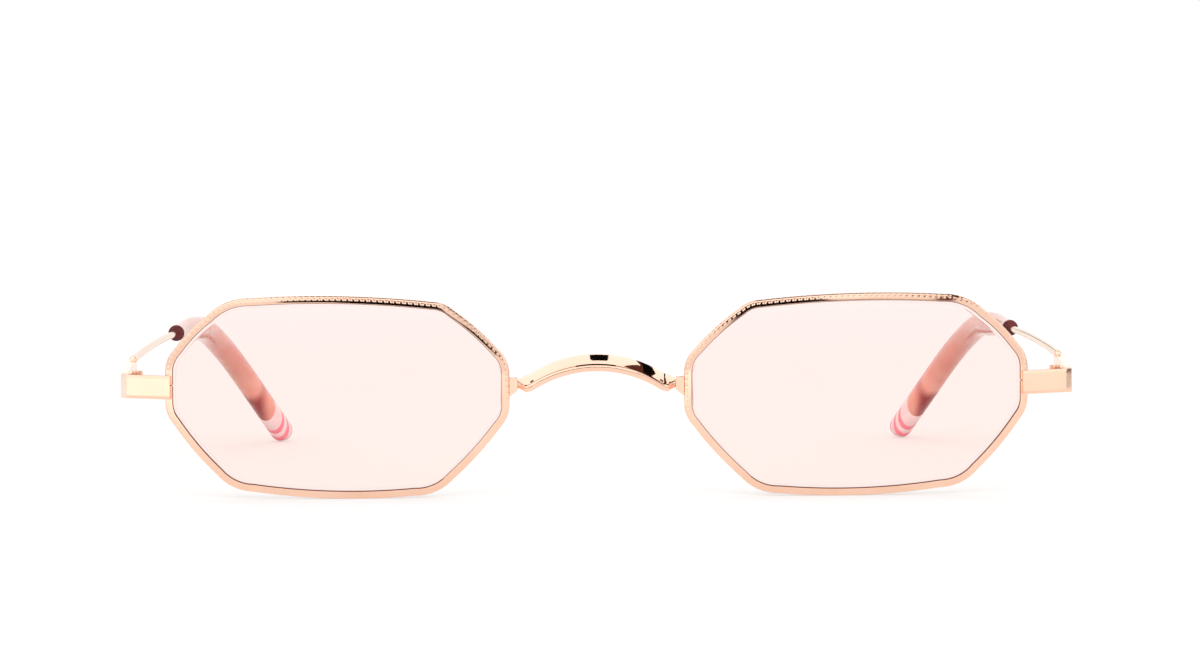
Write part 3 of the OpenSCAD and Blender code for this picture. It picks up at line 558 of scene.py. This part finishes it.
def strip_cross(side, t):
    """The strip at t on one side: its middle, the ways across it and over it, and its width."""
    x, z, slope = strip_at(t)
    width = STRIP_W if t <= 2 else STRIP_W + (FOOT_W - STRIP_W) * (t - 2) ** FOOT_TAPER
    across = Vector((0, math.cos(STRIP_TILT), math.sin(STRIP_TILT)))
    over = across.cross(Vector((side * math.cos(slope), 0, -math.sin(slope)))).normalized()
    return Vector((side * x, MID_DEPTH, z)), across, -over if over.z < 0 else over, width


def strip_section(width):
    """Points round the strip: two round edges, a flat underside and a crowned upper face."""
    r = STRIP_T / 2
    half = width / 2 - r

    def round_edge(middle, start):
        angles = [start + math.pi * k / STRIP_EDGE_STEPS for k in range(STRIP_EDGE_STEPS + 1)]
        return [(middle + r * math.cos(a), r * math.sin(a)) for a in angles]

    under = [(-half + 2 * half * k / STRIP_UNDER_STEPS, -r) for k in range(1, STRIP_UNDER_STEPS)]
    shares = [1 - 2 * k / STRIP_FACE_STEPS for k in range(1, STRIP_FACE_STEPS)]
    face = [(half * u, r + STRIP_CROWN * (1 - u * u) * width / STRIP_W) for u in shares]
    return round_edge(-half, math.pi / 2) + under + round_edge(half, -math.pi / 2) + face


def build_bridge():
    steps = [k / ARCH_STEPS for k in range(ARCH_STEPS + 1)]
    steps += [1 + k / BEND_STEPS for k in range(1, BEND_STEPS + 1)]
    steps += [2 + k / FOOT_STEPS for k in range(1, FOOT_STEPS + 1)]
    rings = []
    for side, order in ((-1, steps[:0:-1]), (1, steps)):
        for t in order:
            middle, across, over, width = strip_cross(side, t)
            rings.append([in_frame(middle + across * a + over * b) for a, b in strip_section(width)])
    verts, faces = swept(rings)
    bridge = mesh_piece("bridge_strip", verts, faces, "front", "frame_metal", sharp=50)
    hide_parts("bridge")


build_bridge()

# Temple tips. The wire starts straight back, toes in and climbs a little, bows down slowly and then bends
# round the ear, leaning inwards.
WIRE_START = (66.38, 14.03, 19.18)
TOE_IN, WIRE_CLIMB = math.radians(1.7), math.radians(4.3)
BOW_R, BOW_L = 790, 79
EAR_R, EAR_BEND, EAR_LEAN = 53.4, math.radians(34.5), math.radians(26)
EAR_L = EAR_R * EAR_BEND
# The clear sleeve swells from its thin front end; then come five layers and the round end
SLEEVE_START, SLEEVE_R0, SLEEVE_R1, SLEEVE_SWELL = 49.5, 1.25, 1.95, 24
LAYERS_START, FIRST_PALE_T, LAYER_T, THIN_LAYERS = 121.44, 3.5, 1.25, 4
BALL_START = LAYERS_START + FIRST_PALE_T + THIN_LAYERS * LAYER_T
# The layers lie at a slant: how steep, and the angle round the tip towards which they lean
LAYER_SLANT, LEAN_ANGLE = 0.85, math.radians(60)
RING_POINTS, SLEEVE_STEPS, BALL_STEPS = 40, 110, 12
# The sleeve's front end: two rings on its flat, as shares of the radius, then the rounding, as the way back
# and how much smaller the ring is there
SLEEVE_FLAT, SLEEVE_FRONT = (0.2, 0.8), ((0.03, 0.1), (0.12, 0.02), (0.4, 0.0))
SLEEVE_FRONT_L = 0.5
# A layer's rounded edges, and the gap that it keeps from its neighbours
LAYER_EDGE, LAYER_GAP = 0.05, 0.01
# The sleeve's last upright ring stays this far from its slanted end
SLANT_ROOM = 1.9


def tip_frame(s):
    """Place on the wire's middle line at length s, with the ways along it, inwards and up."""
    def turned(start, radius, angle):
        place, along, inwards, up = start
        c, d = math.cos(angle), math.sin(angle)
        return place + radius * (d * along - (1 - c) * up), c * along - d * up, inwards, d * along + c * up

    ct, st = math.cos(TOE_IN), math.sin(TOE_IN)
    cc, sc = math.cos(WIRE_CLIMB), math.sin(WIRE_CLIMB)
    hinge = (Vector(WIRE_START), Vector((-st * cc, ct * cc, sc)), Vector((-ct, -st, 0)),
             Vector((st * sc, -ct * sc, cc)))
    if s <= BOW_L:
        return turned(hinge, BOW_R, s / BOW_R)
    place, along, inwards, up = turned(hinge, BOW_R, BOW_L / BOW_R)
    c, d = math.cos(EAR_LEAN), math.sin(EAR_LEAN)
    ear = place, along, c * inwards + d * up, c * up - d * inwards
    if s <= BOW_L + EAR_L:
        return turned(ear, EAR_R, (s - BOW_L) / EAR_R)
    place, along, inwards, up = turned(ear, EAR_R, EAR_BEND)
    return place + along * (s - BOW_L - EAR_L), along, inwards, up


def ring_at(side, s, shape):
    """Ring round the tip at length s; shape gives the radius and the way forward for each angle."""
    place, along, inwards, up = tip_frame(s)
    ring = []
    for k in range(RING_POINTS):
        a = 2 * math.pi * k / RING_POINTS
        radius, forward = shape(a)
        out = inwards * math.cos(a) + up * math.sin(a)
        ring.append(in_frame(place + out * radius + along * forward, side))
    return ring


def tip_ring(side, s, radius, slant=0.0):
    """Ring whose plane is slanted so that it lies further back on the upper inner side. Past the middle of
    the round end it stays on that."""
    def shape(a):
        lean = slant * radius * math.cos(a - LEAN_ANGLE)
        past = max(0.0, min(s + lean - BALL_START, SLEEVE_R1))
        limit = math.sqrt(SLEEVE_R1 ** 2 - past ** 2)
        return min(radius, limit), min(lean, BALL_START + SLEEVE_R1 - s)

    return ring_at(side, s, shape)


def tip_end_ring(side, part):
    """Ring on the round end, this part of the way from the last slanted edge to the tip's furthest point."""
    def shape(a):
        lean = LAYER_GAP - LAYER_SLANT * SLEEVE_R1 * math.cos(a - LEAN_ANGLE)
        straight = max(0.0, -lean)
        start = math.asin(min(1.0, max(0.0, lean) / SLEEVE_R1))
        way = part * (straight + (math.pi / 2 - start) * SLEEVE_R1)
        if way < straight:
            return SLEEVE_R1, way - straight
        angle = start + (way - straight) / SLEEVE_R1
        return SLEEVE_R1 * math.cos(angle), SLEEVE_R1 * math.sin(angle)

    return ring_at(side, BALL_START, shape)


def tip_layer(side, start, end):
    """Rings of one slanted layer between two lengths."""
    section = ((start + LAYER_GAP, LAYER_EDGE), (start + LAYER_EDGE, 0.0), (end - LAYER_EDGE, 0.0),
               (end - LAYER_GAP, LAYER_EDGE))
    return [tip_ring(side, s, SLEEVE_R1 - small, -LAYER_SLANT) for s, small in section]


def sleeve_radius(s):
    t = min(1.0, (s - SLEEVE_START) / SLEEVE_SWELL)
    return SLEEVE_R0 + (SLEEVE_R1 - SLEEVE_R0) * t * t * (3 - 2 * t)


def build_sleeve(side_name, side):
    rings = [tip_ring(side, SLEEVE_START, SLEEVE_R0 * k) for k in SLEEVE_FLAT]
    rings += [tip_ring(side, SLEEVE_START + back, SLEEVE_R0 - small) for back, small in SLEEVE_FRONT]
    front_end = len(rings) - 1
    start, end = SLEEVE_START + SLEEVE_FRONT_L, LAYERS_START - SLANT_ROOM
    for k in range(SLEEVE_STEPS + 1):
        s = start + (end - start) * k / SLEEVE_STEPS
        rings.append(tip_ring(side, s, sleeve_radius(s)))
    rings.append(tip_ring(side, LAYERS_START, SLEEVE_R1, -LAYER_SLANT))
    verts, faces = swept(rings)
    body = side_name + "_temple"
    sleeve = mesh_piece(side_name + "_tip_sleeve", verts, faces, body, "tip_acetate", sharp=40)
    sleeve.data.materials.append(materials["tip_rim"])
    front_cap = len(faces) - 2
    for polygon in sleeve.data.polygons:
        if polygon.index // RING_POINTS < front_end or polygon.index == front_cap:
            polygon.material_index = 1
    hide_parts(side_name + "_temple_tip")


def build_layers(side_name, side):
    edges = [LAYERS_START, LAYERS_START + FIRST_PALE_T]
    edges += [edges[-1] + LAYER_T * k for k in range(1, THIN_LAYERS + 1)]
    layers = [tip_layer(side, start, end) for start, end in zip(edges, edges[1:])]
    # The last ring of the round end stops just short of its furthest point
    dome = [tip_end_ring(side, k / (BALL_STEPS + 0.5)) for k in range(BALL_STEPS + 1)]
    pale, pink = layers[0::2], layers[1::2] + [dome]
    for name, slot, shells, node in (("_tip_pale", "pale_acetate", pale, "_tip_pale_layers"),
                                     ("_tip_pink", "pink_acetate", pink, "_tip_pink_layers")):
        verts, faces = [], []
        for rings in shells:
            more_verts, more_faces = swept(rings)
            faces += [tuple(i + len(verts) for i in face) for face in more_faces]
            verts += more_verts
        piece = mesh_piece(side_name + name, verts, faces, side_name + "_temple", slot, sharp=40)
        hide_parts(side_name + node)


for side_name, side in SIDES:
    build_sleeve(side_name, side)
    build_layers(side_name, side)

# Studio, in metres. The floor shows white to the camera, to metal and through glass. Near the object part of
# that white is the lamps' light, which the object's shadow takes away. Further out it is all the floor's own.
FLOOR_SIZE, FLOOR_DROP = 12.0, 0.00002
LIT_R, UNLIT_R = 0.25, 1.2
GLOW_LIT, GLOW_UNLIT = 0.43, 1.0
FLOOR_LIT, FLOOR_UNLIT = (0.5, 0.485, 0.475), (0.02, 0.02, 0.02)
# A lighter patch at the front left, which only the metal mirrors
PATCH_GLOW, PATCH = 0.3, (("X", -0.03, -0.10), ("Y", -0.075, -0.2))
WORLD_LIGHT, WORLD_SEEN = 0.85, 1.0


def rectangle(width, height):
    """Vertices and the one face of a flat rectangle round the origin."""
    w, h = width / 2, height / 2
    return [(-w, -h, 0), (w, -h, 0), (w, h, 0), (-w, h, 0)], [(0, 1, 2, 3)]


def rays_that_show(tree):
    """Two outputs: 1 for rays that show the background, which come from the camera, mirrored or through
    glass; and 1 for the mirrored ones alone."""
    path = add(tree, "LightPath")
    mirrored = path.outputs["Is Glossy Ray"]
    through = maths(tree, "MAXIMUM", mirrored, path.outputs["Is Transmission Ray"])
    return maths(tree, "MAXIMUM", path.outputs["Is Camera Ray"], through), mirrored


def make_floor():
    mat, tree, shader, out = new_material("studio_floor", Roughness=0.9, Specular_IOR_Level=0.1)
    seen, patch = rays_that_show(tree)
    coords = add(tree, "TexCoord").outputs["Object"]
    distance = add(tree, "VectorMath", links={0: coords}, operation="LENGTH").outputs["Value"]
    level = remap(tree, distance, GLOW_LIT, GLOW_UNLIT, LIT_R, UNLIT_R)
    fade = remap(tree, distance, 0.0, 1.0, LIT_R, UNLIT_R)
    tree.links.new(ramp(tree, fade, 0.0, FLOOR_LIT, 1.0, FLOOR_UNLIT), shader.inputs["Base Color"])
    axes = add(tree, "SeparateXYZ", links={"Vector": coords}).outputs
    for axis, start, stop in PATCH:
        patch = maths(tree, "MULTIPLY", patch, share(tree, axes[axis], start, stop))
    lighter = maths(tree, "MULTIPLY_ADD", patch, PATCH_GLOW, level)
    strength = maths(tree, "MULTIPLY", seen, lighter)
    glow = add(tree, "Emission", {"Color": (1, 1, 1, 1)}, {"Strength": strength})
    both = add(tree, "AddShader", links={0: shader.outputs["BSDF"], 1: glow.outputs[0]})
    tree.links.new(both.outputs[0], out.inputs["Surface"])
    obj = new_object("studio_floor", new_mesh("studio_floor", *rectangle(FLOOR_SIZE, FLOOR_SIZE), mat))
    obj.location.z = -FLOOR_DROP


def make_world():
    world = bpy.data.worlds.new("studio_world")
    world.use_nodes = True
    tree = world.node_tree
    tree.nodes.clear()
    level = remap(tree, rays_that_show(tree)[0], WORLD_LIGHT, WORLD_SEEN)
    back = add(tree, "Background", {"Color": (1, 1, 1, 1)}, {"Strength": level})
    add(tree, "OutputWorld", links={"Surface": back.outputs[0]})
    bpy.context.scene.world = world


def face_towards(obj, place, aim):
    obj.location = place
    obj.rotation_euler = (Vector(aim) - Vector(place)).to_track_quat("-Z", "Y").to_euler()


def soft_box(name, place, aim, size, power, mirrored=True):
    data = bpy.data.lights.new(name, "AREA")
    data.shape = "RECTANGLE"
    data.size, data.size_y = size
    data.energy = power
    obj = new_object(name, data)
    face_towards(obj, place, aim)
    obj.visible_transmission = False
    obj.visible_glossy = mirrored


def card(name, verts, faces, colour):
    """A reflector card that only the metal's reflections see."""
    mat, tree, out = bare_material(name)
    glow = add(tree, "Emission", {"Color": (*colour, 1)})
    tree.links.new(glow.outputs[0], out.inputs["Surface"])
    obj = new_object(name, new_mesh(name, verts, faces, mat))
    obj.visible_camera = False
    obj.visible_diffuse = False
    obj.visible_shadow = False
    obj.visible_transmission = False
    return obj


def flat_card(name, place, aim, size, colour):
    obj = card(name, *rectangle(*size), colour)
    face_towards(obj, place, aim)


def mirrored_from(point, normal, distance):
    """Place that the camera sees mirrored at a surface point, this far from it."""
    normal = Vector(normal).normalized()
    sight = (point - bpy.context.scene.camera.location).normalized()
    return point + (sight - 2 * sight.dot(normal) * normal) * distance


# Points in each row of a card that the bridge mirrors, and how far such cards stand from it, the second
# kind behind the first
STRIP_CARD_POINTS, STRIP_CARD_FAR, STRIP_CARD_BEHIND = 5, 0.3, 0.31


def strip_surface(t, c):
    """Point of the bridge's strip and its normal: t along it, negative on the wearer's right, and c across
    its upper face, where -1 is the face's front border and -2 the front edge's foremost line."""
    middle, across, over, width = strip_cross(1 if t >= 0 else -1, abs(t))
    r = STRIP_T / 2
    half = width / 2 - r
    if abs(c) <= 1:
        point = middle + across * half * c + over * (r + STRIP_CROWN * (1 - c * c) * width / STRIP_W)
        normal = over + across * (2 * c * STRIP_CROWN * width / STRIP_W / half)
    else:
        a = (abs(c) - 1) * math.pi / 2
        way = 1 if c > 0 else -1
        point = middle + across * way * (half + r * math.sin(a)) + over * r * math.cos(a)
        normal = over * math.cos(a) + across * way * math.sin(a)
    return in_frame(point), normal.normalized()


def strip_card(name, rows, distance, colour):
    """A card that the camera sees mirrored in the bridge. Each row says where it lies across the strip, and
    from where to where along it."""
    verts, n = [], STRIP_CARD_POINTS
    for c, start, stop in rows:
        for k in range(n):
            point, normal = strip_surface(start + (stop - start) * k / (n - 1), c)
            verts.append(mirrored_from(point, normal, distance))
    faces = [(n * i + k, n * i + k + 1, n * (i + 1) + k + 1, n * (i + 1) + k)
             for i in range(len(rows) - 1) for k in range(n - 1)]
    card(name, verts, faces, colour)


# The corner facet of the left end piece, as x and y of its two upright edges, taken a little wider than it
# is, and how far away its cards stand
FACET_EDGES, FACET_CARD_FAR = ((65.6, -70.5), (66.7, -69.4)), 0.1


def facet_card(name, side, low, high, colour):
    """A card that the camera sees mirrored in an end piece's corner facet, between two heights in mm."""
    (x0, y0), (x1, y1) = FACET_EDGES
    corners = ((x0, y0, low), (x1, y1, low), (x1, y1, high), (x0, y0, high))
    verts = [mirrored_from(Vector((side * x, y, z)) * MM, (side, -1, 0), FACET_CARD_FAR)
             for x, y, z in corners]
    card(name, verts, [(0, 1, 2, 3)], colour)


BLACK = (0.004, 0.003, 0.003)
MAROON = (0.10, 0.04, 0.03)
BROWN = (0.24, 0.14, 0.11)
GREY = (0.42, 0.42, 0.42)
FACET_GREY, FACET_WHITE = (0.62, 0.70, 0.74), (1.0, 1.3, 1.45)

make_camera()
make_floor()
make_world()
soft_box("key", (-0.45, -0.85, 0.75), (0, 0, 0.01), (1.7, 1.1), 2.1)
soft_box("fill", (0.9, -0.35, 0.6), (0, 0, 0.01), (1.1, 1.1), 1.15)
soft_box("top", (-0.1, 0.75, 0.85), (0, 0, 0), (2.0, 1.3), 2.9)
soft_box("front", (0.0, -1.2, 0.3), (0, 0, 0.01), (1.2, 0.8), 17.0, mirrored=False)

# Dark reflections in the bridge: a black bar on its crest, a black band on the left with a maroon patch
# beside it, and a maroon corner at each foot. The names of these cards go by the picture's sides.
strip_card("card_crest", ((1.04, -0.07, 0.15), (0.9, -0.1, 0.18), (0.4, -0.1, 0.175), (-0.2, -0.09, 0.16),
                          (-0.44, -0.06, 0.14)), STRIP_CARD_FAR, BLACK)
strip_card("card_band", ((1.2, 0.66, 0.79), (1.0, 0.66, 0.86), (0.4, 0.67, 0.86), (-0.2, 0.67, 0.87),
                         (-0.6, 0.66, 0.83), (-0.9, 0.65, 0.79), (-1.1, 0.65, 0.77), (-1.25, 0.67, 0.74)),
           STRIP_CARD_FAR, BLACK)
strip_card("card_patch", ((0.0, 0.6, 0.67), (-0.4, 0.5, 0.68), (-0.9, 0.38, 0.68), (-1.2, 0.44, 0.68),
                          (-1.5, 0.54, 0.68), (-1.68, 0.57, 0.62)), STRIP_CARD_BEHIND, MAROON)
strip_card("card_patch_top", ((1.24, 0.66, 0.68), (1.0, 0.6, 0.68), (0.5, 0.62, 0.68), (0.0, 0.64, 0.68)),
           STRIP_CARD_BEHIND, MAROON)
strip_card("card_right_foot", ((-0.7, 0.92, 0.98), (-1.0, 0.9, 1.04), (-1.3, 0.9, 1.06), (-1.5, 0.94, 1.0)),
           STRIP_CARD_FAR, MAROON)
strip_card("card_left_foot", ((-0.7, -0.98, -0.92), (-1.0, -1.04, -0.9), (-1.3, -1.04, -0.9)),
           STRIP_CARD_FAR, MAROON)

# The dark body of the camera, as x and z, which the crowned fronts of the rims' top edges mirror
CAMERA_BODY_Y = -0.66
CAMERA_BODY = ((-0.125, 0.12), (-0.07, 0.105), (-0.045, 0.03), (0.03, 0.03), (0.045, 0.068), (0.18, 0.07),
               (0.18, 0.092), (0.065, 0.105), (0.035, 0.165), (-0.06, 0.165), (-0.125, 0.15))
card("card_camera", [(x, CAMERA_BODY_Y, z) for x, z in CAMERA_BODY], [tuple(range(len(CAMERA_BODY)))], BLACK)

# A brown ceiling, which draws the thin line along upward edges, with its dark middle
flat_card("card_ceiling", (0.0, -0.06, 0.9), (0, -0.06, 0), (1.8, 0.34), BROWN)
flat_card("card_ceiling_middle", (0.0, -0.07, 0.6), (0, -0.07, 0), (0.21, 0.56), BLACK)

# At the sides: a grey panel on the left, what the end pieces' corner facets mirror, and two brown strips
flat_card("card_side", (1.0, -0.12, 0.12), (0, -0.07, 0.02), (0.5, 0.3), GREY)
facet_card("card_left_facet", 1, 14.9, 17.0, FACET_GREY)
facet_card("card_left_facet_spot", 1, 17.0, 17.8, BLACK)
facet_card("card_right_facet", -1, 14.2, 17.4, FACET_WHITE)
for name, x in (("card_left_wall", 0.3), ("card_right_wall", -0.3)):
    flat_card(name, (x, -0.05, 0.17), (0, -0.05, 0.17), (0.07, 0.22), BROWN)

scene = bpy.context.scene
scene.view_settings.view_transform = "Standard"
